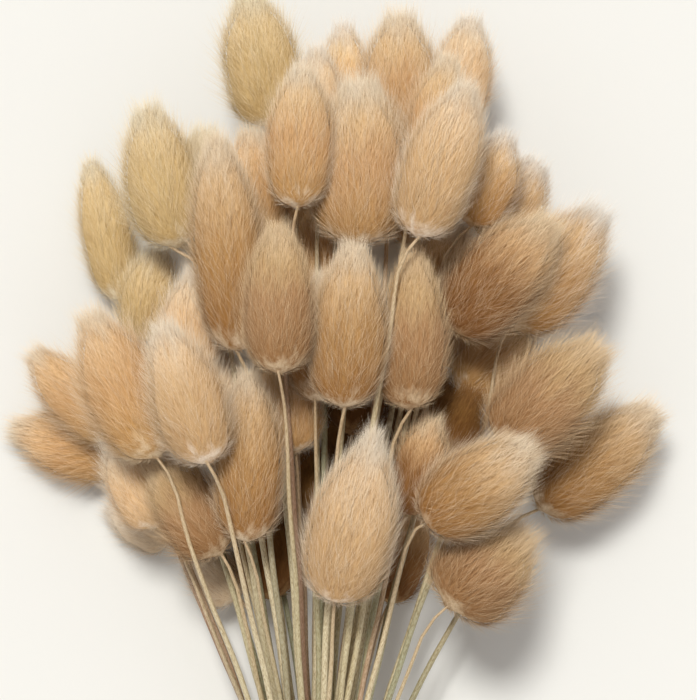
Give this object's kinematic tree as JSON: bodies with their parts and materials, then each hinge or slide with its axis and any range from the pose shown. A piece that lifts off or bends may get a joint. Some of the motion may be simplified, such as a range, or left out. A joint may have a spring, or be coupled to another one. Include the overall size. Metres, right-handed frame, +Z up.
{
  "type": "dried bunny tail grass bunch",
  "caption": "Tied bunch of dried bunny tail grass, lying down: soft egg-shaped seed heads on fine straw stems that run together under a twine tie.",
  "frame": {"origin": "on the surface that the bunch lies on, below the middle of the whole bunch's box", "axes": "+Z up from the surface, +Y along the bunch from the cut ends to the seed heads, +X to the right seen from above"},
  "size_m": [0.162, 0.3574, 0.0782],
  "materials": {
    "seed_head": "soft, silky, furry",
    "stem": "dry straw, satin",
    "tie": "rough twisted jute"
  },
  "bodies": {
    "root": {"head_01": "seed_head", "head_02": "seed_head", "head_03": "seed_head", "head_04": "seed_head", "head_05": "seed_head", "head_06": "seed_head", "head_07": "seed_head", "head_08": "seed_head", "head_09": "seed_head", "head_10": "seed_head", "head_11": "seed_head", "head_12": "seed_head", "head_13": "seed_head", "head_14": "seed_head", "head_15": "seed_head", "head_16": "seed_head", "head_17": "seed_head", "head_18": "seed_head", "head_19": "seed_head", "head_20": "seed_head", "head_21": "seed_head", "head_22": "seed_head", "head_23": "seed_head", "head_24": "seed_head", "head_25": "seed_head", "head_26": "seed_head", "head_27": "seed_head", "head_28": "seed_head", "head_29": "seed_head", "head_30": "seed_head", "head_31": "seed_head", "head_32": "seed_head", "head_33": "seed_head", "head_34": "seed_head", "head_35": "seed_head", "head_36": "seed_head", "head_37": "seed_head", "head_38": "seed_head", "head_39": "seed_head", "head_40": "seed_head", "head_41": "seed_head", "head_42": "seed_head", "head_43": "seed_head", "head_44": "seed_head", "head_45": "seed_head", "head_46": "seed_head", "head_47": "seed_head", "head_48": "seed_head", "head_49": "seed_head", "head_50": "seed_head", "head_51": "seed_head", "head_52": "seed_head", "head_53": "seed_head", "head_54": "seed_head", "head_55": "seed_head", "head_56": "seed_head", "stems": "stem", "tie": "tie"}
  },
  "joints": []
}
